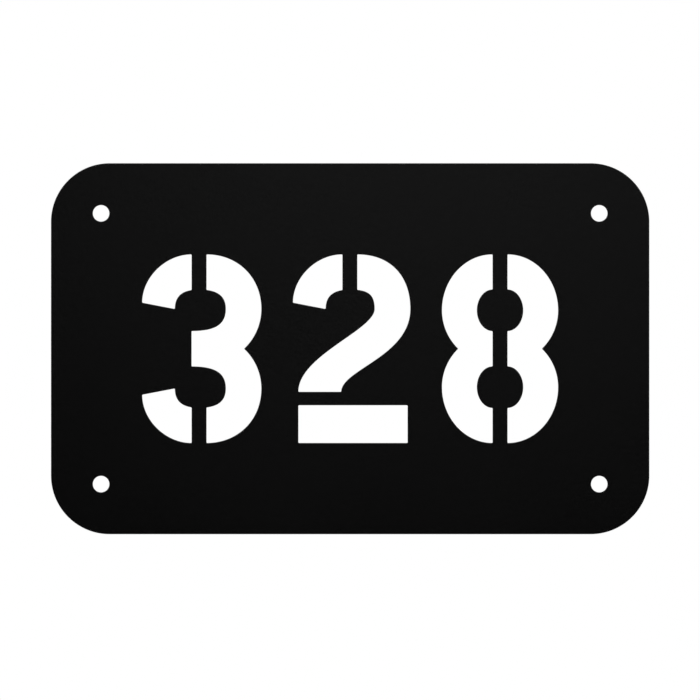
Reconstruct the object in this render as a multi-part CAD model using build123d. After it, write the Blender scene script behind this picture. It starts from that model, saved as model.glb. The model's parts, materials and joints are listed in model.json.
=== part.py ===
from build123d import *
import os

# House number plaque: one flat plate with the stencil numerals 3, 2 and 8 cut right through it,
# and a round screw hole near each corner. The plate stands upright with its back on the wall
# plane, y = 0, and its front faces -Y. +X is to the reader's right and +Z is up. The origin is
# the middle of the back face, on the axis of the screw pattern. All sizes are in millimetres.

# Plate
thickness = 3.0
margin = 30.5  # from the number's box to the plate's edge, the same on all four sides
corner_radius = 19.6
edge_break = 0.2  # 45 degree softening of every edge, front and back, round the plate and the cuts

# Screw holes
hole_diameter = 5.5
hole_inset = 16.75  # from the plate's edges to a hole's centre

# All three numerals. A reach is the distance from the tie's axis to the outside of a bowl, and an
# inside is the distance from that axis to the bowl's island. A fullness says how square a quarter
# turn is: 0 is a straight slant, 0.55 is an ellipse and 1 is close to a square corner.
numeral_height = 63.0
numeral_gap = 10.6  # clear space between neighbouring numerals
stroke = 11.7  # level strokes at the head and the foot of a numeral
middle_bar = 11.8  # level stroke between the two bowls of the 3 and the 8
tie = 5.0  # upright strip of plate that carries the island inside a bowl

# Bowls and hook that the 3 and the 2 share. The hook is the curled stroke on their left.
bowl_lift = 0.45  # the widest level of their bowls stands this far above the bowl's middle
island_fullness = 0.68
hook_reach = 19.0
hook_inside = 8.1
hook_slant = 2.1  # rise of the hook's cut end, from its inside to its outside
hook_fullness = 0.525

# Numeral 3
three_reach = 20.8
three_inside = 8.95
three_waist = 5.8  # depth of the notch between the two bowls
three_fullness = 0.575
three_bar_fullness = 0.70

# Numeral 2. The long stroke leaves the bowl straight down and reaches its foot straight down. The
# drops and rises say how firmly each side holds to that, as shares of the stroke's whole fall.
two_reach = 20.2
two_inside = 8.3
two_fullness = 0.615
two_island_fullness = 0.75
outer_drop = 0.57
outer_rise = 0.27
inner_drop = 0.255
inner_rise = 0.435
foot_width = 14.3  # cut end of the long stroke
base_tie = 4.5  # level strip of plate between the long stroke and the base bar
base_height = 12.6
base_left_inset = 1.8  # from the outside of the hook to the left end of the base bar and the foot
base_right_inset = 0.9  # from the outside of the bowl to the right end of the base bar

# Numeral 8
eight_reach = 19.4
eight_inside = 7.75
eight_waist = 5.45
eight_fullness = 0.55

# Levels and places that follow from the sizes above. Each numeral is drawn about its own tie's
# axis, x = 0, and its own middle height, y = 0.
head = numeral_height / 2
island_top = head - stroke
bar_top = middle_bar / 2
bowl_middle = (island_top + bar_top) / 2
bowl_level = bowl_middle + bowl_lift
half_tie = tie / 2
crown_left = (-half_tie, head)
crown_right = (half_tie, head)
island_crown = (0, island_top)

number_width = 2 * hook_reach + three_reach + two_reach + 2 * eight_reach + 2 * numeral_gap
three_axis = -number_width / 2 + hook_reach
two_axis = three_axis + three_reach + numeral_gap + hook_reach
eight_axis = two_axis + two_reach + numeral_gap + eight_reach

plate_width = number_width + 2 * margin
plate_height = numeral_height + 2 * margin


def quarter_turn(level, upright, fullness):
    """Quarter of a bowl, from the point where it runs level to the point where it runs upright."""
    across = upright[0] - level[0]
    down = level[1] - upright[1]
    near_level = (level[0] + fullness * across, level[1])
    near_upright = (upright[0], upright[1] + fullness * down)
    return Bezier(level, near_level, near_upright, upright)


def long_side(top, foot, drop, rise):
    """One side of the long stroke of the 2, upright at both of its ends."""
    fall = top[1] - foot[1]
    below_top = (top[0], top[1] - drop * fall)
    above_foot = (foot[0], foot[1] + rise * fall)
    return Bezier(top, below_top, above_foot, foot)


def bowl_side(reach, level, notch, fullness):
    """Outer right side of a bowl, from the crown round to the notch at middle height."""
    widest = (reach, level)
    return [
        quarter_turn(crown_right, widest, fullness),
        TangentArc(widest, notch, tangent=(0, -1)),
    ]


def hook():
    """The hook, from the island's top round its cut end and up to the crown, and the crown."""
    inner_tip = (-hook_inside, bowl_level)
    outer_tip = (-hook_reach, bowl_level + hook_slant)
    return [
        quarter_turn(island_crown, inner_tip, island_fullness),
        Line(inner_tip, outer_tip),
        quarter_turn(crown_left, outer_tip, hook_fullness),
        Line(crown_left, crown_right),
    ]


def crown_tie():
    """Strip of plate that crosses the head stroke and carries the island below it."""
    return Pos(0, (bowl_level + head) / 2) * Rectangle(tie, head - bowl_level)


def with_mirror_below(upper_half):
    """The upper half of a numeral joined with its mirror image below middle height."""
    return upper_half + mirror(upper_half, about=Plane.XZ)


def three():
    notch = (three_reach - three_waist, 0)
    inside = (three_inside, bowl_level)
    bar_end = (-half_tie, 0)
    bar_corner = (-half_tie, bar_top)
    outline = make_face(
        hook()
        + bowl_side(three_reach, bowl_level, notch, three_fullness)
        + [
            Line(notch, bar_end),
            Line(bar_end, bar_corner),
            quarter_turn(bar_corner, inside, three_bar_fullness),
            quarter_turn(island_crown, inside, island_fullness),
        ]
    )
    return with_mirror_below(outline - crown_tie())


def two():
    outside = (two_reach, bowl_level)
    inside = (two_inside, bowl_level)
    base_left = -hook_reach + base_left_inset
    base_right = two_reach - base_right_inset
    foot = -head + base_height + base_tie
    foot_left = (base_left, foot)
    foot_right = (base_left + foot_width, foot)
    outline = make_face(
        hook()
        + [
            quarter_turn(crown_right, outside, two_fullness),
            long_side(outside, foot_right, outer_drop, outer_rise),
            Line(foot_right, foot_left),
            long_side(inside, foot_left, inner_drop, inner_rise),
            quarter_turn(island_crown, inside, two_island_fullness),
        ]
    )
    base_middle = Pos((base_left + base_right) / 2, -head + base_height / 2)
    base = base_middle * Rectangle(base_right - base_left, base_height)
    return outline - crown_tie() + base


def eight():
    notch = (eight_reach - eight_waist, 0)
    inside = (eight_inside, bowl_middle)
    bar_end = (half_tie, 0)
    bar_corner = (half_tie, bar_top)
    island_corner = (half_tie, island_top)
    upper_right = make_face(
        bowl_side(eight_reach, bowl_middle, notch, eight_fullness)
        + [
            Line(notch, bar_end),
            Line(bar_end, bar_corner),
            quarter_turn(bar_corner, inside, eight_fullness),
            quarter_turn(island_corner, inside, eight_fullness),
            Line(island_corner, crown_right),
        ]
    )
    right_half = with_mirror_below(upper_right)
    return right_half + mirror(right_half, about=Plane.YZ)


def screw_holes():
    spacing_x = plate_width - 2 * hole_inset
    spacing_z = plate_height - 2 * hole_inset
    return GridLocations(spacing_x, spacing_z, 2, 2) * Circle(hole_diameter / 2)


def number_plate():
    sheet = RectangleRounded(plate_width, plate_height, corner_radius)
    sheet -= screw_holes()
    sheet -= Pos(three_axis, 0) * three()
    sheet -= Pos(two_axis, 0) * two()
    sheet -= Pos(eight_axis, 0) * eight()
    plate = extrude(Plane.XZ * sheet, thickness)
    front_and_back = plate.faces().filter_by(Axis.Y)
    return chamfer(front_and_back.edges(), edge_break)


os.makedirs("parts", exist_ok=True)
export_step(number_plate(), "parts/number_plate.step")
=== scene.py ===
# %% [markdown]
# # A house number cut through a black plate
# The real object is one flat sheet of steel. A laser cuts the rounded outline, four screw holes and
# the stencil numerals 3, 2 and 8 right through it, the edges are softened, and the whole sheet gets
# a satin black powder coat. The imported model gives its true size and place, so it is loaded first.
# It could be coated and shown as it is, but its edges are plain breaks and its bowls have flat
# facets that show in gloss. So the same plate is drawn again here, finer, in that same frame:
# metres, front towards -Y, top towards +Z.

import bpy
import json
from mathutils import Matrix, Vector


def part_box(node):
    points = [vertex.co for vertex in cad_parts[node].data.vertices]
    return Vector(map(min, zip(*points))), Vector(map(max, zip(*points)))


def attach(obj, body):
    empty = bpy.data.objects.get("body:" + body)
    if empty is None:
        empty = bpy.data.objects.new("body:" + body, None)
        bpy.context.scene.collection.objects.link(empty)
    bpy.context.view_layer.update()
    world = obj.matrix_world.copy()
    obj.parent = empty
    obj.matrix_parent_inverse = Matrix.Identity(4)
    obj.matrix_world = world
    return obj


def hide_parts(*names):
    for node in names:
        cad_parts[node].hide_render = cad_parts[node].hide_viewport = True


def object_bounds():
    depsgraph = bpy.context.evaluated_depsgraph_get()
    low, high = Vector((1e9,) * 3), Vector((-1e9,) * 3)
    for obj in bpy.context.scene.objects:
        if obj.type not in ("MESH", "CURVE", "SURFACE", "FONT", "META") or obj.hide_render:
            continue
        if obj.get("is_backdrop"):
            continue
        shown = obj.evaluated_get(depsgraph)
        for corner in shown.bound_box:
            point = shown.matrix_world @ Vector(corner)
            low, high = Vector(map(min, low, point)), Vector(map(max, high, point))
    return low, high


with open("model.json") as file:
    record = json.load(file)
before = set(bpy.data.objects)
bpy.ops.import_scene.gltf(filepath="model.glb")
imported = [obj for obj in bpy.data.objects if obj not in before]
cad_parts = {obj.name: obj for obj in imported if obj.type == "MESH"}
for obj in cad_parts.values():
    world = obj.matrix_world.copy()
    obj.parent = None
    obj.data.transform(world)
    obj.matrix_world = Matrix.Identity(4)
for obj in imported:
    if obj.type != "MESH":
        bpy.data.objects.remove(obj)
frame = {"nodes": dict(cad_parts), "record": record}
cad_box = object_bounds()

MM = 0.001
plate_low, plate_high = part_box("number_plate")
plate_size = plate_high - plate_low
plate_middle = (plate_low + plate_high) / 2
print("plate in mm:", [round(side / MM, 2) for side in plate_size])

# %% [markdown]
# ## The camera
# The photograph looks straight at the front, and no wall of any cut shows in it, so it was taken
# from far away through a long lens. A camera a kilometre off would do. An orthographic camera is the
# plain way to the same picture: its scale is the width of the view in metres. Scale and centre come
# from where the plate's four edges lie in the square picture, counted in pixels from its top left.

# %% Camera
import bpy
from mathutils import Vector

picture_pixels = 700
plate_left_pixel = 50.97
plate_right_pixel = 649.34
plate_top_pixel = 163.19
plate_bottom_pixel = 534.24
camera_distance = 0.6

metres_per_pixel = plate_size.x / (plate_right_pixel - plate_left_pixel)
plate_right_of_centre = (plate_left_pixel + plate_right_pixel - picture_pixels) / 2
plate_above_centre = (picture_pixels - plate_top_pixel - plate_bottom_pixel) / 2

camera_data = bpy.data.cameras.new("photo_camera")
camera_data.type = "ORTHO"
camera_data.ortho_scale = picture_pixels * metres_per_pixel
camera = bpy.data.objects.new("photo_camera", camera_data)
camera.location = plate_middle + Vector((
    -plate_right_of_centre * metres_per_pixel,
    -camera_distance,
    -plate_above_centre * metres_per_pixel,
))
camera.rotation_euler = Vector((0, 1, 0)).to_track_quat("-Z", "Y").to_euler()
bpy.context.scene.collection.objects.link(camera)
bpy.context.scene.camera = camera
print("view across, in mm:", round(camera_data.ortho_scale / MM, 2))

# %% [markdown]
# ## Curves for drawing numerals
# Stencil numerals are drawn by a few kinds of line: quarter turns round a bowl, the long sweep of
# the 2, arcs that run into a notch, and straight cuts. They could be traced as hundreds of points,
# but a cubic curve says each one with four control points, and the numbers keep a meaning. Here a
# curve is a list of those four points, a chain is a list of curves that follow each other, and the
# drawing is in millimetres on a flat sheet, x to the right and y up.

# %% Curves
import math


def point(x, y):
    """A point of the flat drawing."""
    return Vector((x, y))


def straight(start, end):
    """A straight line, as a curve."""
    return [start, start.lerp(end, 1 / 3), start.lerp(end, 2 / 3), end]


def quarter_turn(level, upright, fullness):
    """Quarter of a bowl, from where it runs level to where it runs upright. A fuller one is squarer."""
    corner = point(upright.x, level.y)
    return [level, level.lerp(corner, fullness), upright.lerp(corner, fullness), upright]


def long_side(top, foot, drop, rise):
    """One side of the long stroke of the 2. It leaves its top and reaches its foot straight down."""
    fall = point(0, top.y - foot.y)
    return [top, top - drop * fall, foot + rise * fall, foot]


def tangent_arc(start, heading, end):
    """Round arc that leaves its start along the heading and comes to its end."""
    chord = end - start
    half_turn = heading.angle(chord)
    radius = chord.length / (2 * math.sin(half_turn))
    handle = radius * 4 / 3 * math.tan(half_turn / 2)
    away = heading.normalized()
    arriving = 2 * away.project(chord) - away
    return [start, start + handle * away, end - handle * arriving, end]


print("curve kinds: straight, quarter turn, long side, tangent arc")

# %% [markdown]
# ## Mirror images
# Much of a numeral is the mirror image of its other half: the foot of the 3 is its head turned upside
# down, and the 8 has the same left and right. Both halves could be drawn, but then they would have to
# be kept alike by hand. A mirror image also runs the other way round, so it is drawn backwards.

# %% Mirror images


def backwards(chain):
    """The same chain, drawn from its end to its start."""
    return [curve[::-1] for curve in reversed(chain)]


def mirrored(chain, sides):
    """Mirror image of a chain, drawn backwards, so that closed chains keep their direction."""
    return backwards([[corner * sides for corner in curve] for curve in chain])


UPSIDE_DOWN = point(1, -1)
LEFT_TO_RIGHT = point(-1, 1)
print("mirrors: upside down, left to right")

# %% [markdown]
# ## Cutting a curve
# A tie is the strip of steel that crosses a stroke and holds the island inside a bowl. A stroke
# ends where its curve meets the tie, so curves have to be cut at a place found by a test. The place
# could be worked out by algebra, but halving the span until it is known is shorter and exact enough.
# Points at the same share of the way between neighbouring control points then give both parts.

# %% Cutting
HALVINGS = 24


def cut_curve(curve, share):
    """The two parts of a curve, before and after that share of its way."""
    first, second, third, fourth = curve
    a = first.lerp(second, share)
    b = second.lerp(third, share)
    c = third.lerp(fourth, share)
    ab = a.lerp(b, share)
    bc = b.lerp(c, share)
    cut = ab.lerp(bc, share)
    return [first, a, ab, cut], [cut, bc, c, fourth]


def share_when(curve, passed):
    """Share of a curve's way at which the test of a point first comes true."""
    low, high = 0.0, 1.0
    for _ in range(HALVINGS):
        share = (low + high) / 2
        before, _after = cut_curve(curve, share)
        if passed(before[-1]):
            high = share
        else:
            low = share
    return high


def from_tie(curve, half_tie):
    """What is left of a curve that starts on the tie's axis, once the tie has covered its start."""
    share = share_when(curve, lambda place: abs(place.x) >= half_tie)
    return cut_curve(curve, share)[1]


print("a cut is found to one part in", 2**HALVINGS)

# %% [markdown]
# ## Sizes that the numerals share
# All three numerals stand in one box with the same margin to every edge of the plate, so the box
# follows from the plate. Heads, islands and bars then follow from the strokes. They could be
# written down as places instead, but then no stroke could be changed by itself. Each numeral is
# drawn about its own tie, x = 0, and about its own middle height, y = 0.

# %% Shared sizes, in mm
margin = 30.5
stroke = 11.7
middle_bar = 11.8
tie = 5.0
bowl_lift = 0.45

number_width = plate_size.x / MM - 2 * margin
numeral_height = plate_size.z / MM - 2 * margin
head = numeral_height / 2
island_top = head - stroke
bar_top = middle_bar / 2
bowl_middle = (island_top + bar_top) / 2
bowl_level = bowl_middle + bowl_lift
half_tie = tie / 2

crown_left = point(-half_tie, head)
crown_right = point(half_tie, head)
island_crown = point(0, island_top)
DOWN = point(0, -1)


def bowl_side(reach, level, waist, fullness):
    """Outer right side of a bowl, from the notch at middle height up and round to the crown."""
    widest = point(reach, level)
    notch = point(reach - waist, 0)
    return backwards([
        quarter_turn(crown_right, widest, fullness),
        tangent_arc(widest, DOWN, notch),
    ])


print("number box in mm:", round(number_width, 2), "x", round(numeral_height, 2))

# %% [markdown]
# ## The hook
# The 3 and the 2 start with the same curled stroke on their left. Its outside is a quarter turn from
# the crown, its inside follows the island, and its end is cut at a slant. It could be drawn for each
# numeral, but one function keeps the two alike. Like every cut in the plate it runs anticlockwise,
# so that the steel always lies on the curve's right.

# %% Hook
hook_reach = 19.0
hook_inside = 8.1
hook_slant = 2.1
hook_fullness = 0.525
island_fullness = 0.68


def hook():
    """Closed chain of the curled stroke."""
    outer_tip = point(-hook_reach, bowl_level + hook_slant)
    inner_tip = point(-hook_inside, bowl_level)
    inside = from_tie(quarter_turn(island_crown, inner_tip, island_fullness), half_tie)
    return [
        quarter_turn(crown_left, outer_tip, hook_fullness),
        straight(outer_tip, inner_tip),
        inside[::-1],
        straight(inside[0], crown_left),
    ]


print("hook has", len(hook()), "curves")

# %% [markdown]
# ## The 3
# The 3 is a hook, the same hook upside down, and one large cut on the right: two bowls that meet in
# a bar. It could be drawn whole, but the lower half is the mirror image of the upper one, so only
# the upper half is drawn.

# %% Numeral 3
three_reach = 20.8
three_inside = 8.95
three_waist = 5.8
three_fullness = 0.575
three_bar_fullness = 0.70


def three():
    """Closed chains of the 3."""
    inside = point(three_inside, bowl_level)
    bar_corner = point(-half_tie, bar_top)
    island = from_tie(quarter_turn(island_crown, inside, island_fullness), half_tie)
    upper = bowl_side(three_reach, bowl_level, three_waist, three_fullness) + [
        straight(crown_right, island[0]),
        island,
        quarter_turn(bar_corner, inside, three_bar_fullness)[::-1],
        straight(bar_corner, point(-half_tie, 0)),
    ]
    return [hook(), mirrored(hook(), UPSIDE_DOWN), upper + mirrored(upper, UPSIDE_DOWN)]


print("the 3 is", len(three()), "cuts")

# %% [markdown]
# ## The 2
# The 2 is a hook, a long stroke that leaves the bowl and sweeps down to the left, and a base bar. A
# level tie parts the long stroke from the bar, so its foot ends straight above the bar's left end.
# The bowl could be borrowed from the 3, but here it runs on into the stroke, so the 2 has curves of
# its own.

# %% Numeral 2
two_reach = 20.2
two_inside = 8.3
two_fullness = 0.615
two_island_fullness = 0.75
outer_drop = 0.57
outer_rise = 0.27
inner_drop = 0.255
inner_rise = 0.435
foot_width = 14.3
base_tie = 4.5
base_height = 12.6
base_left_inset = 1.8
base_right_inset = 0.9


def two():
    """Closed chains of the 2."""
    outside = point(two_reach, bowl_level)
    inside = point(two_inside, bowl_level)
    base_left = -hook_reach + base_left_inset
    base_right = two_reach - base_right_inset
    base_top = -head + base_height
    foot_left = point(base_left, base_top + base_tie)
    foot_right = point(base_left + foot_width, base_top + base_tie)
    island = from_tie(quarter_turn(island_crown, inside, two_island_fullness), half_tie)
    long_stroke = [
        straight(crown_right, island[0]),
        island,
        long_side(inside, foot_left, inner_drop, inner_rise),
        straight(foot_left, foot_right),
        long_side(outside, foot_right, outer_drop, outer_rise)[::-1],
        quarter_turn(crown_right, outside, two_fullness)[::-1],
    ]
    corners = [
        point(base_left, -head),
        point(base_right, -head),
        point(base_right, base_top),
        point(base_left, base_top),
    ]
    base = [straight(a, b) for a, b in zip(corners, corners[1:] + corners[:1])]
    return [hook(), long_stroke, base]


print("the 2 is", len(two()), "cuts")

# %% [markdown]
# ## The 8
# The 8 is two cuts with the tie between them. They could be drawn one by one, but they are mirror
# images of each other, and so are their upper and lower halves. A quarter is enough to draw.

# %% Numeral 8
eight_reach = 19.4
eight_inside = 7.75
eight_waist = 5.45
eight_fullness = 0.55


def eight():
    """Closed chains of the 8."""
    inside = point(eight_inside, bowl_middle)
    island_corner = point(half_tie, island_top)
    bar_corner = point(half_tie, bar_top)
    upper = bowl_side(eight_reach, bowl_middle, eight_waist, eight_fullness) + [
        straight(crown_right, island_corner),
        quarter_turn(island_corner, inside, eight_fullness),
        quarter_turn(bar_corner, inside, eight_fullness)[::-1],
        straight(bar_corner, point(half_tie, 0)),
    ]
    right_half = upper + mirrored(upper, UPSIDE_DOWN)
    return [right_half, mirrored(right_half, LEFT_TO_RIGHT)]


print("the 8 is", len(eight()), "cuts")

# %% [markdown]
# ## Setting the number
# The numerals stand side by side with equal gaps. The gap could be one more size to choose. Here it
# is what the number's box leaves over, so the number always fills its box and the margins stay equal.

# %% Setting
numeral_gap = (number_width - 2 * hook_reach - three_reach - two_reach - 2 * eight_reach) / 2
three_axis = -number_width / 2 + hook_reach
two_axis = three_axis + three_reach + numeral_gap + hook_reach
eight_axis = two_axis + two_reach + numeral_gap + eight_reach

cuts = []
for numeral, axis in [(three, three_axis), (two, two_axis), (eight, eight_axis)]:
    for chain in numeral():
        cuts.append([[corner + point(axis, 0) for corner in curve] for curve in chain])
print("cuts in the number:", len(cuts), "with gaps of", round(numeral_gap, 2), "mm")

# %% [markdown]
# ## Soft corners
# A laser leaves corners of about the width of its beam, and the coat rounds them a little more. A
# corner with no radius would also pinch the rounded lip that runs along each cut. So every sharp
# joint of a chain is set back on both sides and gets a small arc. This could be left to a Bevel
# modifier, but on a flat drawing it is simpler, and the walls come out smooth.

# %% Setting back
soft_corner = 0.25


def start_heading(curve):
    return curve[1] - curve[0]


def end_heading(curve):
    return curve[3] - curve[2]


def set_back_start(curve, setback):
    """The curve without its first stretch of that length."""
    corner = curve[0]
    share = share_when(curve, lambda place: (place - corner).length >= setback)
    return cut_curve(curve, share)[1]


print("soft corners of", soft_corner, "mm radius")

# %% [markdown]
# ### Every sharp joint
# Where two curves meet with a sharp turn, the arc touches them at a distance that grows with the turn.
# Each arc could be added as soon as its corner is found, but a short curve is cut at both of its ends.
# So all curves are set back first, and the arcs join them afterwards.

# %% Soft corners
SHARP = math.radians(8)


def soften(chain):
    """The closed chain with a small arc at each sharp joint."""
    turns = []
    for curve, following in zip(chain, chain[1:] + chain[:1]):
        turns.append(end_heading(curve).angle(start_heading(following)))
    parts = list(chain)
    for here, turn in enumerate(turns):
        if turn > SHARP:
            there = (here + 1) % len(parts)
            setback = soft_corner * math.tan(turn / 2)
            parts[here] = set_back_start(parts[here][::-1], setback)[::-1]
            parts[there] = set_back_start(parts[there], setback)
    softened = []
    for here, turn in enumerate(turns):
        there = (here + 1) % len(parts)
        softened.append(parts[here])
        if turn > SHARP:
            softened.append(tangent_arc(parts[here][3], end_heading(parts[here]), parts[there][0]))
    return softened


soft_cuts = [soften(chain) for chain in cuts]
print("soft corners:", sum(len(soft) - len(sharp) for soft, sharp in zip(soft_cuts, cuts)))

# %% [markdown]
# ## Outlines
# A laser follows the drawing in short straight steps, and so does a mesh. The cuts become closed
# polylines in one curve object, in metres. Every curve could have the same number of steps, but here
# one that bends more gets more, so that no step leaves the true line by more than the flatness.
# Bowls stay round and straight cuts stay light.

# %% Outlines
from mathutils.geometry import interpolate_bezier

flatness = 0.003

# Drawn in one step, a cubic curve leaves its chord by at most this share of its bend.
SAG_SHARE = 0.75


def steps_of(curve):
    """How many straight steps a curve needs to stay within the flatness."""
    first, second, third, fourth = curve
    bend = max((first - 2 * second + third).length, (second - 2 * third + fourth).length)
    return max(1, math.ceil(math.sqrt(SAG_SHARE * bend / flatness)))


def outline_of(chain):
    """Points of a closed chain, each once."""
    places = []
    for curve in chain:
        places += interpolate_bezier(*curve, steps_of(curve) + 1)[:-1]
    return places


drawing = bpy.data.curves.new("number_outlines", "CURVE")
drawing.dimensions = "3D"
for chain in soft_cuts:
    places = outline_of(chain)
    spline = drawing.splines.new("POLY")
    spline.points.add(len(places) - 1)
    for spline_point, place in zip(spline.points, places):
        spline_point.co = (place.x * MM, place.y * MM, 0, 1)
    spline.use_cyclic_u = True
plate_maker = bpy.data.objects.new("number_outlines", drawing)
bpy.context.scene.collection.objects.link(plate_maker)
print("outline points:", sum(len(spline.points) for spline in drawing.splines))

# %% [markdown]
# ## One helper for every node tree
# Geometry, materials and the world are all trees of nodes. They could be wired by hand in the node
# editor, but a script can be read and run again. One helper adds a node, sets what is constant and
# links what comes from another node, so the trees below read like a list of steps. A second one is
# short for the node that is used most, Math.

# %% Node helper


def add(tree, kind, sockets=None, **settings):
    """A new node. Each named or numbered socket is linked if given another socket, else set."""
    node = tree.nodes.new(kind)
    for name, value in settings.items():
        setattr(node, name, value)
    for name, value in (sockets or {}).items():
        if isinstance(value, bpy.types.NodeSocket):
            tree.links.new(value, node.inputs[name])
        else:
            node.inputs[name].default_value = value
    return node


def calculate(tree, operation, first, second=0.0):
    """The result of a Math node."""
    return add(tree, "ShaderNodeMath", {0: first, 1: second}, operation=operation).outputs[0]


print("helpers: add, calculate")

# %% [markdown]
# ## The coat's skin
# Powder coat is dust melted on the steel. It flows out almost flat but keeps a faint ripple, like
# orange peel, a finer grain, and it never has quite the same depth all over. Such fine relief could
# be modelled, but it would take millions of faces, so it is noise in the material. Faces and cut
# edges share that skin, so it is one shader group: it gives a height for bump, and a slow drift that
# the materials use for tone and gloss. Object coordinates keep its scale true in millimetres.

# %% Skin group
peel_size = 1.1 * MM
grain_size = 0.28 * MM
drift_size = 55 * MM
GRAIN_SHARE = 0.45

skin = bpy.data.node_groups.new("powder_skin", "ShaderNodeTree")
skin.interface.new_socket("Place", in_out="INPUT", socket_type="NodeSocketVector")
for name, default in [("Peel Size", peel_size), ("Grain Size", grain_size), ("Drift Size", drift_size)]:
    size_socket = skin.interface.new_socket(name, in_out="INPUT", socket_type="NodeSocketFloat")
    size_socket.default_value = default
for name in ["Height", "Drift"]:
    skin.interface.new_socket(name, in_out="OUTPUT", socket_type="NodeSocketFloat")

skin_in = add(skin, "NodeGroupInput")


def skin_noise(size_name, detail):
    """Noise whose bumps have about the named size."""
    return add(skin, "ShaderNodeTexNoise", {
        "Vector": skin_in.outputs["Place"],
        "Scale": calculate(skin, "DIVIDE", 1.0, skin_in.outputs[size_name]),
        "Detail": detail,
    }).outputs[0]


height = add(skin, "ShaderNodeMix", {
    "Factor": GRAIN_SHARE,
    "A": skin_noise("Peel Size", detail=1),
    "B": skin_noise("Grain Size", detail=1),
})
add(skin, "NodeGroupOutput", {
    "Height": height.outputs[0],
    "Drift": skin_noise("Drift Size", detail=2),
})
print("skin group:", len(skin.nodes), "nodes")

# %% [markdown]
# ## The coat's shader
# Faces and cut edges have the same satin black. The photograph's black is so deep that the colour
# under the gloss is close to nothing, and what light the plate sends back is nearly all gloss. One flat
# colour would pass from the front, but close by it would look like a hole in the picture. So the
# skin's drift moves tone and gloss a little, and a height gives the gloss its relief.

# %% Coat shader
coat_dark = (0.0012, 0.0012, 0.0012, 1)
coat_light = (0.0017, 0.0017, 0.0017, 1)
coat_ior = 1.5
coat_specular = 0.4


def new_material(name):
    """An empty node material with its output."""
    material = bpy.data.materials.new(name)
    material.use_nodes = True
    material.node_tree.nodes.clear()
    return material, material.node_tree


def coat(tree, skin_node, bump_height, ripple, roughness):
    """The shader of the coat: tone and gloss from the skin's drift, ripple from a height."""
    drift = skin_node.outputs["Drift"]
    # A Mix node keeps its colour inputs at numbers 6 and 7, and their result at 2.
    tone = add(tree, "ShaderNodeMix", {0: drift, 6: coat_dark, 7: coat_light}, data_type="RGBA")
    gloss = add(tree, "ShaderNodeMapRange", {
        "Value": drift,
        "To Min": roughness[0],
        "To Max": roughness[1],
    })
    bump = add(tree, "ShaderNodeBump", {"Height": bump_height, "Distance": ripple})
    shader = add(tree, "ShaderNodeBsdfPrincipled", {
        "Base Color": tone.outputs[2],
        "Roughness": gloss.outputs[0],
        "Normal": bump.outputs[0],
        "IOR": coat_ior,
        "Specular IOR Level": coat_specular,
    })
    add(tree, "ShaderNodeOutputMaterial", {"Surface": shader.outputs[0]})


print("coat tones:", coat_dark[0], "to", coat_light[0])

# %% [markdown]
# ## The coat on the faces
# On the flat front and back the powder flows out best, so their gloss is a little sharper than the
# edges', and their relief is the skin alone. Faces and edges could share one material with a mask, but
# two plain materials are easier to read and to change.

# %% Face coat
face_roughness = (0.24, 0.28)
face_ripple = 0.045 * MM

face_coat, face_tree = new_material("black_coat_face")
face_place = add(face_tree, "ShaderNodeTexCoord")
face_skin = add(face_tree, "ShaderNodeGroup", {"Place": face_place.outputs["Object"]}, node_tree=skin)
coat(face_tree, face_skin, face_skin.outputs["Height"], face_ripple, face_roughness)
print("face coat:", len(face_tree.nodes), "nodes")

# %% [markdown]
# ## The coat on the cut edges
# A laser leaves fine lines that run straight through the sheet, and the coat does not quite fill
# them. A noise that is stretched without end along the sheet's thickness, Y, draws such lines on a
# wall of any direction. A Mapping node with a Y scale of nothing does that, with no need for a UV map.
# Powder also draws back from edges and is thinner there, so the skin gets a finer peel of its own.

# %% Edge coat
edge_peel_size = 0.8 * MM
cut_line_size = 0.5 * MM
cut_line_share = 0.55
edge_roughness = (0.30, 0.38)
edge_ripple = 0.05 * MM

edge_coat, edge_tree = new_material("black_coat_cut_edge")
edge_place = add(edge_tree, "ShaderNodeTexCoord")
edge_skin = add(edge_tree, "ShaderNodeGroup", {
    "Place": edge_place.outputs["Object"],
    "Peel Size": edge_peel_size,
}, node_tree=skin)
through = add(edge_tree, "ShaderNodeMapping", {
    "Vector": edge_place.outputs["Object"],
    "Scale": (1, 0, 1),
})
cut_lines = add(edge_tree, "ShaderNodeTexNoise", {
    "Vector": through.outputs[0],
    "Scale": 1 / cut_line_size,
})
edge_height = add(edge_tree, "ShaderNodeMix", {
    "Factor": cut_line_share,
    "A": edge_skin.outputs["Height"],
    "B": cut_lines.outputs[0],
})
coat(edge_tree, edge_skin, edge_height.outputs[0], edge_ripple, edge_roughness)
print("edge coat:", len(edge_tree.nodes), "nodes")

# %% [markdown]
# ## A tree that cuts the plate
# The plate follows a rule: an outline, cuts in it, a thickness and a softened lip along every edge.
# That could be modelled with booleans and a bevel, but booleans leave slivers and a bevel can fold
# over in tight corners. In Geometry Nodes every outline is a rail. A profile of the wall with its
# two lips is swept along each rail, and the flat faces are filled between the rails, set back by the
# lip. The tree's inputs are the plate's own sizes, and its geometry is the number's outlines.

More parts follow.
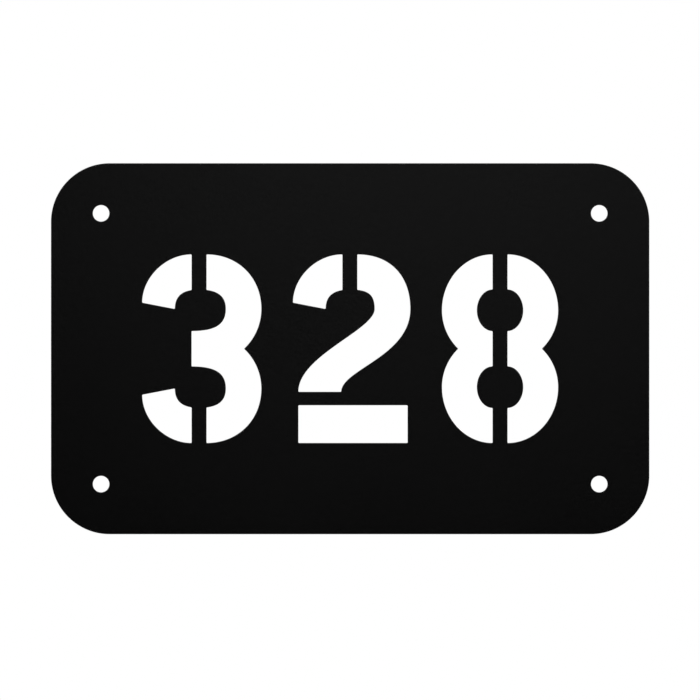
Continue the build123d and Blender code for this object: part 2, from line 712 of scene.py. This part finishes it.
# %% Tree inputs
plate_tree = bpy.data.node_groups.new("plate_from_outlines", "GeometryNodeTree")
plate_tree.interface.new_socket("Outlines", in_out="INPUT", socket_type="NodeSocketGeometry")
tree_inputs = [
    ("Width", "NodeSocketFloat"),
    ("Height", "NodeSocketFloat"),
    ("Thickness", "NodeSocketFloat"),
    ("Corner Radius", "NodeSocketFloat"),
    ("Corner Steps", "NodeSocketInt"),
    ("Hole Radius", "NodeSocketFloat"),
    ("Hole Steps", "NodeSocketInt"),
    ("Hole Spacing X", "NodeSocketFloat"),
    ("Hole Spacing Z", "NodeSocketFloat"),
    ("Lip", "NodeSocketFloat"),
    ("Lip Steps", "NodeSocketInt"),
    ("Face Coat", "NodeSocketMaterial"),
    ("Edge Coat", "NodeSocketMaterial"),
]
for name, kind in tree_inputs:
    plate_tree.interface.new_socket(name, in_out="INPUT", socket_type=kind)
plate_tree.interface.new_socket("Plate", in_out="OUTPUT", socket_type="NodeSocketGeometry")
given = add(plate_tree, "NodeGroupInput").outputs
print("tree inputs:", len(tree_inputs))

# %% [markdown]
# ### Rails
# The plate's own outline is a rectangle with filleted corners, and the screw holes are one circle,
# placed on the four corners of a grid. Both could be drawn as the numerals are, but for such plain
# forms there are nodes. Cuts run anticlockwise and the plate's outline clockwise, so that steel is
# on the right of every rail, and the Z Up normal of a curve points to its right.

# %% Rails
HOLE_COLUMNS = 2
HOLE_ROWS = 2

rectangle = add(plate_tree, "GeometryNodeCurvePrimitiveQuadrilateral", {
    "Width": given["Width"],
    "Height": given["Height"],
})
rounded = add(plate_tree, "GeometryNodeFilletCurve", {
    "Curve": rectangle.outputs[0],
    "Count": given["Corner Steps"],
    "Radius": given["Corner Radius"],
}, mode="POLY")
hole = add(plate_tree, "GeometryNodeCurvePrimitiveCircle", {
    "Resolution": given["Hole Steps"],
    "Radius": given["Hole Radius"],
})
hole_places = add(plate_tree, "GeometryNodeMeshGrid", {
    "Size X": given["Hole Spacing X"],
    "Size Y": given["Hole Spacing Z"],
    "Vertices X": HOLE_COLUMNS,
    "Vertices Y": HOLE_ROWS,
})
holes = add(plate_tree, "GeometryNodeInstanceOnPoints", {
    "Points": hole_places.outputs["Mesh"],
    "Instance": hole.outputs[0],
})
real_holes = add(plate_tree, "GeometryNodeRealizeInstances", {"Geometry": holes.outputs[0]})
clockwise = add(plate_tree, "GeometryNodeReverseCurve", {"Curve": rounded.outputs[0]})
all_rails = add(plate_tree, "GeometryNodeJoinGeometry")
for rail in [given["Outlines"], clockwise.outputs[0], real_holes.outputs[0]]:
    plate_tree.links.new(rail, all_rails.inputs[0])
rails = add(plate_tree, "GeometryNodeSetCurveNormal", {"Curve": all_rails.outputs[0]}, mode="Z_UP")
print("rail nodes:", len(plate_tree.nodes))

# %% [markdown]
# ### Walls and lips
# A cut edge is a straight wall, and its two lips are a little rounded. A Bevel modifier could round
# them, but a profile that is drawn once is the same everywhere. Swept along a rail, its X lies along
# the rail's normal, into the steel, and its Y through the sheet.

# %% Walls
QUARTER = math.pi / 2


def vector(x=0.0, y=0.0, z=0.0):
    """The result of a Combine XYZ node."""
    return add(plate_tree, "ShaderNodeCombineXYZ", {"X": x, "Y": y, "Z": z}).outputs[0]


half_thickness = calculate(plate_tree, "DIVIDE", given["Thickness"], 2.0)
wall_end = calculate(plate_tree, "SUBTRACT", half_thickness, given["Lip"])
other_wall_end = calculate(plate_tree, "MULTIPLY", wall_end, -1.0)
lip_points = calculate(plate_tree, "ADD", given["Lip Steps"], 1)

profile = add(plate_tree, "GeometryNodeJoinGeometry")
wall_line = add(plate_tree, "GeometryNodeCurvePrimitiveLine", {
    "Start": vector(y=wall_end),
    "End": vector(y=other_wall_end),
})
plate_tree.links.new(wall_line.outputs[0], profile.inputs[0])
for lip_start, start_angle in [(wall_end, QUARTER), (other_wall_end, 2 * QUARTER)]:
    quarter_round = add(plate_tree, "GeometryNodeCurveArc", {
        "Resolution": lip_points,
        "Radius": given["Lip"],
        "Start Angle": start_angle,
        "Sweep Angle": QUARTER,
    })
    placed_round = add(plate_tree, "GeometryNodeTransform", {
        "Geometry": quarter_round.outputs[0],
        "Translation": vector(x=given["Lip"], y=lip_start),
    })
    plate_tree.links.new(placed_round.outputs[0], profile.inputs[0])
walls = add(plate_tree, "GeometryNodeCurveToMesh", {
    "Curve": rails.outputs[0],
    "Profile Curve": profile.outputs[0],
})
smooth_walls = add(plate_tree, "GeometryNodeSetShadeSmooth", {"Geometry": walls.outputs[0]})
print("with walls:", len(plate_tree.nodes), "nodes")

# %% [markdown]
# ### Faces
# Front and back are flat from lip to lip. They could be cut out of a grid, but the Fill Curve node
# fills the area between closed curves with no seams. So the rails are moved along their normals by
# the lip, and filled twice: once in front and once, turned over, behind. A stored attribute remembers
# which faces are flat.

# %% Faces
into_steel = add(plate_tree, "ShaderNodeVectorMath", {
    0: add(plate_tree, "GeometryNodeInputNormal").outputs[0],
    "Scale": given["Lip"],
}, operation="SCALE")
face_rails = add(plate_tree, "GeometryNodeSetPosition", {
    "Geometry": rails.outputs[0],
    "Offset": into_steel.outputs[0],
})
filled = add(plate_tree, "GeometryNodeFillCurve", {"Curve": face_rails.outputs[0]}, mode="TRIANGLES")
flat = add(plate_tree, "GeometryNodeSetShadeSmooth", {
    "Geometry": filled.outputs[0],
    "Shade Smooth": False,
})
marked = add(plate_tree, "GeometryNodeStoreNamedAttribute", {
    "Geometry": flat.outputs[0],
    "Name": "flat_face",
    "Value": True,
}, data_type="BOOLEAN", domain="FACE")
front = add(plate_tree, "GeometryNodeTransform", {
    "Geometry": marked.outputs[0],
    "Translation": vector(z=half_thickness),
})
turned_over = add(plate_tree, "GeometryNodeFlipFaces", {"Mesh": marked.outputs[0]})
back = add(plate_tree, "GeometryNodeTransform", {
    "Geometry": turned_over.outputs[0],
    "Translation": vector(z=calculate(plate_tree, "MULTIPLY", half_thickness, -1.0)),
})
print("with faces:", len(plate_tree.nodes), "nodes")

# %% [markdown]
# ### One closed plate
# Walls and faces could stay side by side and look whole, but other programs need one shell. They share
# their border points, so merging doubles closes it. The sheet is then stood up with its front towards
# -Y, and the coats are given out.

# %% Joined plate
MERGE_DISTANCE = 0.001 * MM
UPRIGHT = (QUARTER, 0, 0)

shell = add(plate_tree, "GeometryNodeJoinGeometry")
for side in [smooth_walls, front, back]:
    plate_tree.links.new(side.outputs[0], shell.inputs[0])
closed = add(plate_tree, "GeometryNodeMergeByDistance", {
    "Geometry": shell.outputs[0],
    "Distance": MERGE_DISTANCE,
})
upright = add(plate_tree, "GeometryNodeTransform", {
    "Geometry": closed.outputs[0],
    "Translation": tuple(plate_middle),
    "Rotation": UPRIGHT,
})
realized = add(plate_tree, "GeometryNodeRealizeInstances", {"Geometry": upright.outputs[0]})
edge_coated = add(plate_tree, "GeometryNodeSetMaterial", {
    "Geometry": realized.outputs[0],
    "Material": given["Edge Coat"],
})
is_flat = add(plate_tree, "GeometryNodeInputNamedAttribute", {"Name": "flat_face"}, data_type="BOOLEAN")
coated = add(plate_tree, "GeometryNodeSetMaterial", {
    "Geometry": edge_coated.outputs[0],
    "Selection": is_flat.outputs["Attribute"],
    "Material": given["Face Coat"],
})
add(plate_tree, "NodeGroupOutput", {"Plate": coated.outputs[0]})
print("whole tree:", len(plate_tree.nodes), "nodes")

# %% [markdown]
# ## The plate's sizes
# Outline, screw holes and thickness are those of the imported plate. They could be written down once
# more, but then the two plates could come apart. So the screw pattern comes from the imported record, and
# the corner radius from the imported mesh: its top edge is straight up to where the corner starts. Only
# the lip and the number of steps are chosen here.

# %% Plate sizes
lip = 0.2 * MM
lip_steps = 5
corner_steps = 40
hole_steps = 72

screws = next(mount for mount in frame["record"]["mounts"] if mount["name"] == "wall_screws")["dims"]
cad_points = [vertex.co for vertex in frame["nodes"]["number_plate"].data.vertices]
top_edge_end = max(place.x for place in cad_points if plate_high.z - place.z < MERGE_DISTANCE)

plate_values = {
    "Width": plate_size.x,
    "Height": plate_size.z,
    "Thickness": plate_size.y,
    "Corner Radius": plate_high.x - top_edge_end,
    "Corner Steps": corner_steps,
    "Hole Radius": screws["hole_r_mm"] * MM,
    "Hole Steps": hole_steps,
    "Hole Spacing X": screws["spacing_x_mm"] * MM,
    "Hole Spacing Z": screws["spacing_y_mm"] * MM,
    "Lip": lip,
    "Lip Steps": lip_steps,
    "Face Coat": face_coat,
    "Edge Coat": edge_coat,
}
print("corner radius in mm:", round(plate_values["Corner Radius"] / MM, 2))

# %% [markdown]
# ## The plate's mesh
# The tree runs as a modifier on the drawing. It could stay there, but other programs need a plain mesh.
# So its inputs are set by their identifiers, the result becomes a mesh of its own, without the empty
# material slot of the drawing, and the drawing is put away.

# %% Plate mesh
modifier = plate_maker.modifiers.new("plate_from_outlines", "NODES")
modifier.node_group = plate_tree
for socket in plate_tree.interface.items_tree:
    if socket.in_out == "INPUT" and socket.name in plate_values:
        modifier[socket.identifier] = plate_values[socket.name]

evaluated = plate_maker.evaluated_get(bpy.context.evaluated_depsgraph_get())
plate_mesh = bpy.data.meshes.new_from_object(evaluated)
plate_mesh.name = "coated_plate"
for slot in reversed(range(len(plate_mesh.materials))):
    if plate_mesh.materials[slot] is None:
        plate_mesh.materials.pop(index=slot)
plate = bpy.data.objects.new("coated_plate", plate_mesh)
bpy.context.scene.collection.objects.link(plate)
plate_maker.modifiers.remove(modifier)
bpy.data.objects.remove(plate_maker)
print("plate faces:", len(plate_mesh.polygons))

# %% [markdown]
# ## Is it closed?
# A part that goes to other programs has to be one closed shell with its faces outwards. That could be
# looked at from all sides, but counting is surer: each edge should have two faces, and the volume
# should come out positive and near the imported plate's.

# %% Measure
import bmesh


def measure(mesh):
    """Open edges and volume of a mesh, after its doubles are merged."""
    shell = bmesh.new()
    shell.from_mesh(mesh)
    bmesh.ops.remove_doubles(shell, verts=shell.verts, dist=MERGE_DISTANCE)
    open_edges = sum(1 for edge in shell.edges if len(edge.link_faces) != 2)
    volume = shell.calc_volume(signed=True)
    shell.free()
    return open_edges, volume


made_open, made_volume = measure(plate_mesh)
cad_volume = measure(frame["nodes"]["number_plate"].data)[1]
print("open edges:", made_open, "volume share of the packed plate:", round(made_volume / cad_volume, 5))

# %% [markdown]
# ## Floor
# A plain pale floor lies at the plate's lower edge. The photograph's camera sees it edge on, so it
# only shows from above. It could be a slab, but one face is enough to catch a shadow. The gloss doesn't
# see it, because the photograph's plate mirrors no floor. It is stage, not part of the object.

# %% Floor
floor_side = 12.0
SQUARE = [(-0.5, -0.5), (0.5, -0.5), (0.5, 0.5), (-0.5, 0.5)]

floor_mesh = bpy.data.meshes.new("floor")
floor_corners = [(x * floor_side, y * floor_side, plate_low.z) for x, y in SQUARE]
floor_mesh.from_pydata(floor_corners, [], [(0, 1, 2, 3)])
floor = bpy.data.objects.new("floor", floor_mesh)
floor.visible_glossy = False
bpy.context.scene.collection.objects.link(floor)
floor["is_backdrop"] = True
print("floor at", round(plate_low.z / MM, 1), "mm")

# %% [markdown]
# ## The floor's tone
# A studio floor runs on into its backdrop with no line between them. The floor could be bent up behind
# the plate for that, but then it would fill the photograph's white. So it stays flat, and away from the
# plate it fades, for the camera alone, into one even backdrop tone.

# %% Floor tone
floor_tone = (0.82, 0.82, 0.82, 1)
backdrop_tone = 0.79
fade_start = 0.12
fade_end = 0.29


def ramp(tree, value, start, end, low=0.0, high=1.0):
    """A soft ramp: low until the value comes to its start, and high from its end on."""
    return add(tree, "ShaderNodeMapRange", {
        "Value": value,
        "From Min": start,
        "From Max": end,
        "To Min": low,
        "To Max": high,
    }, interpolation_type="SMOOTHSTEP").outputs[0]


floor_material, floor_tree = new_material("pale_floor")
floor_place = add(floor_tree, "ShaderNodeTexCoord")
away = add(floor_tree, "ShaderNodeVectorMath", {0: floor_place.outputs["Object"]}, operation="LENGTH")
fade = ramp(floor_tree, away.outputs["Value"], fade_start, fade_end)
looking = add(floor_tree, "ShaderNodeLightPath").outputs["Is Camera Ray"]
lit = add(floor_tree, "ShaderNodeBsdfDiffuse", {"Color": floor_tone})
even = add(floor_tree, "ShaderNodeEmission", {"Color": (backdrop_tone, backdrop_tone, backdrop_tone, 1)})
floor_shader = add(floor_tree, "ShaderNodeMixShader", {
    0: calculate(floor_tree, "MULTIPLY", looking, fade),
    1: lit.outputs[0],
    2: even.outputs[0],
})
add(floor_tree, "ShaderNodeOutputMaterial", {"Surface": floor_shader.outputs[0]})
floor_mesh.materials.append(floor_material)
print("floor tone:", floor_tone[0], "fading to", backdrop_tone)

# %% [markdown]
# ## Room
# The plate is near black although the room is bright: it mirrors the dark end of the room, behind the
# camera. An even white world would be simpler, but its mirror image would turn the coat grey. So the
# world is a room that is bright above, dim at the sides and below, and dark towards the camera.

# %% Room
room_above = 0.7
room_sides = 0.2
room_below = 0.12
room_dark = 0.005

# Spans of a direction's own parts, which run from -1 to 1.
side_span = (0.2, 0.9)
above_span = (0.3, 0.8)
below_span = (-0.15, -0.75)

world = bpy.data.worlds.new("studio")
world.use_nodes = True
bpy.context.scene.world = world
room = world.node_tree
room.nodes.clear()
direction = add(room, "ShaderNodeTexCoord").outputs["Generated"]
sideways, inwards, upwards = add(room, "ShaderNodeSeparateXYZ", {0: direction}).outputs
to_a_side = calculate(room, "ABSOLUTE", sideways)
side_light = ramp(room, to_a_side, *side_span, low=room_dark, high=room_sides)
above_light = ramp(room, upwards, *above_span, high=room_above)
below_light = ramp(room, upwards, *below_span, high=room_below)
end_light = calculate(room, "MAXIMUM", above_light, below_light)
room_light = calculate(room, "MAXIMUM", side_light, end_light)
print("room from", room_dark, "to", room_above)

# %% [markdown]
# ## Backdrop
# Behind the plate the photograph is pure white. A white wall could stand there, but other views would
# see where it ends. So the backdrop is a second layer of the world. The camera sees it everywhere,
# white where it looks level and in the floor's far tone where it looks down. The coat mirrors it only
# behind the plate, in part, because a real backdrop is no wider than it has to be.

# %% Backdrop
backdrop_white = 1.0
backdrop_in_gloss = 0.55
behind_span = (0.1, 0.6)
level_span = (-0.012, -0.004)

backdrop_light = ramp(room, upwards, *level_span, low=backdrop_tone, high=backdrop_white)
ray = add(room, "ShaderNodeLightPath").outputs
behind = ramp(room, inwards, *behind_span, high=backdrop_in_gloss)
in_gloss = calculate(room, "MULTIPLY", ray["Is Glossy Ray"], behind)
by_eye = calculate(room, "MAXIMUM", ray["Is Camera Ray"], ray["Is Transmission Ray"])
lights_up = add(room, "ShaderNodeBackground", {"Color": room_light})
is_seen = add(room, "ShaderNodeBackground", {"Color": backdrop_light})
studio = add(room, "ShaderNodeMixShader", {
    0: calculate(room, "MAXIMUM", by_eye, in_gloss),
    1: lights_up.outputs[0],
    2: is_seen.outputs[0],
})
add(room, "ShaderNodeOutputWorld", {"Surface": studio.outputs[0]})
bpy.context.scene.view_settings.view_transform = "Standard"
print("room nodes:", len(room.nodes))

# %% [markdown]
# ## Lamps
# Flat glossy work could be lit from the camera, but the lamp would mirror into the lens. So two soft
# lamps stand high on either side, and one above draws the soft shadow on the floor. The photograph's
# plate is lightest at its top, a little right of the middle, and fades downwards: that is the broad
# reflection of a dim panel above the camera.

# %% Lamps


def soft_lamp(name, place, width, height, power):
    """Rectangular area lamp that points at the plate and that the camera doesn't see."""
    lamp_data = bpy.data.lights.new(name, "AREA")
    lamp_data.shape = "RECTANGLE"
    lamp_data.size = width
    lamp_data.size_y = height
    lamp_data.energy = power
    lamp = bpy.data.objects.new(name, lamp_data)
    lamp.location = place
    lamp.rotation_euler = (plate_middle - lamp.location).to_track_quat("-Z", "Y").to_euler()
    lamp.visible_camera = False
    bpy.context.scene.collection.objects.link(lamp)
    print(name, "lamp of", power, "W")


soft_lamp("left_side", place=(-1.15, -0.9, 0.85), width=0.8, height=0.8, power=8.0)
soft_lamp("right_side", place=(1.15, -0.9, 0.85), width=0.8, height=0.8, power=8.0)
soft_lamp("above", place=(0.1, -0.2, 0.9), width=0.6, height=0.6, power=1.5)
soft_lamp("panel_over_camera", place=(0.024, -0.733, 0.2), width=0.236, height=0.381, power=0.097)

# %% [markdown]
# ## Handing the plate over
# Two plates in one place would flicker through each other. The imported one could be deleted, but it has
# to stay for the physics, so it is hidden and the new plate stands for it: it rides on the only body.
# The largest difference between the two boxes is printed, so that the sizes can be compared.

# %% Hand over
import json

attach(plate, "root")
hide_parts("number_plate")

visual_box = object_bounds()
differences = [abs(side) / MM for ours, theirs in zip(visual_box, cad_box) for side in ours - theirs]
print("boxes differ by at most, in mm:", round(max(differences), 4))
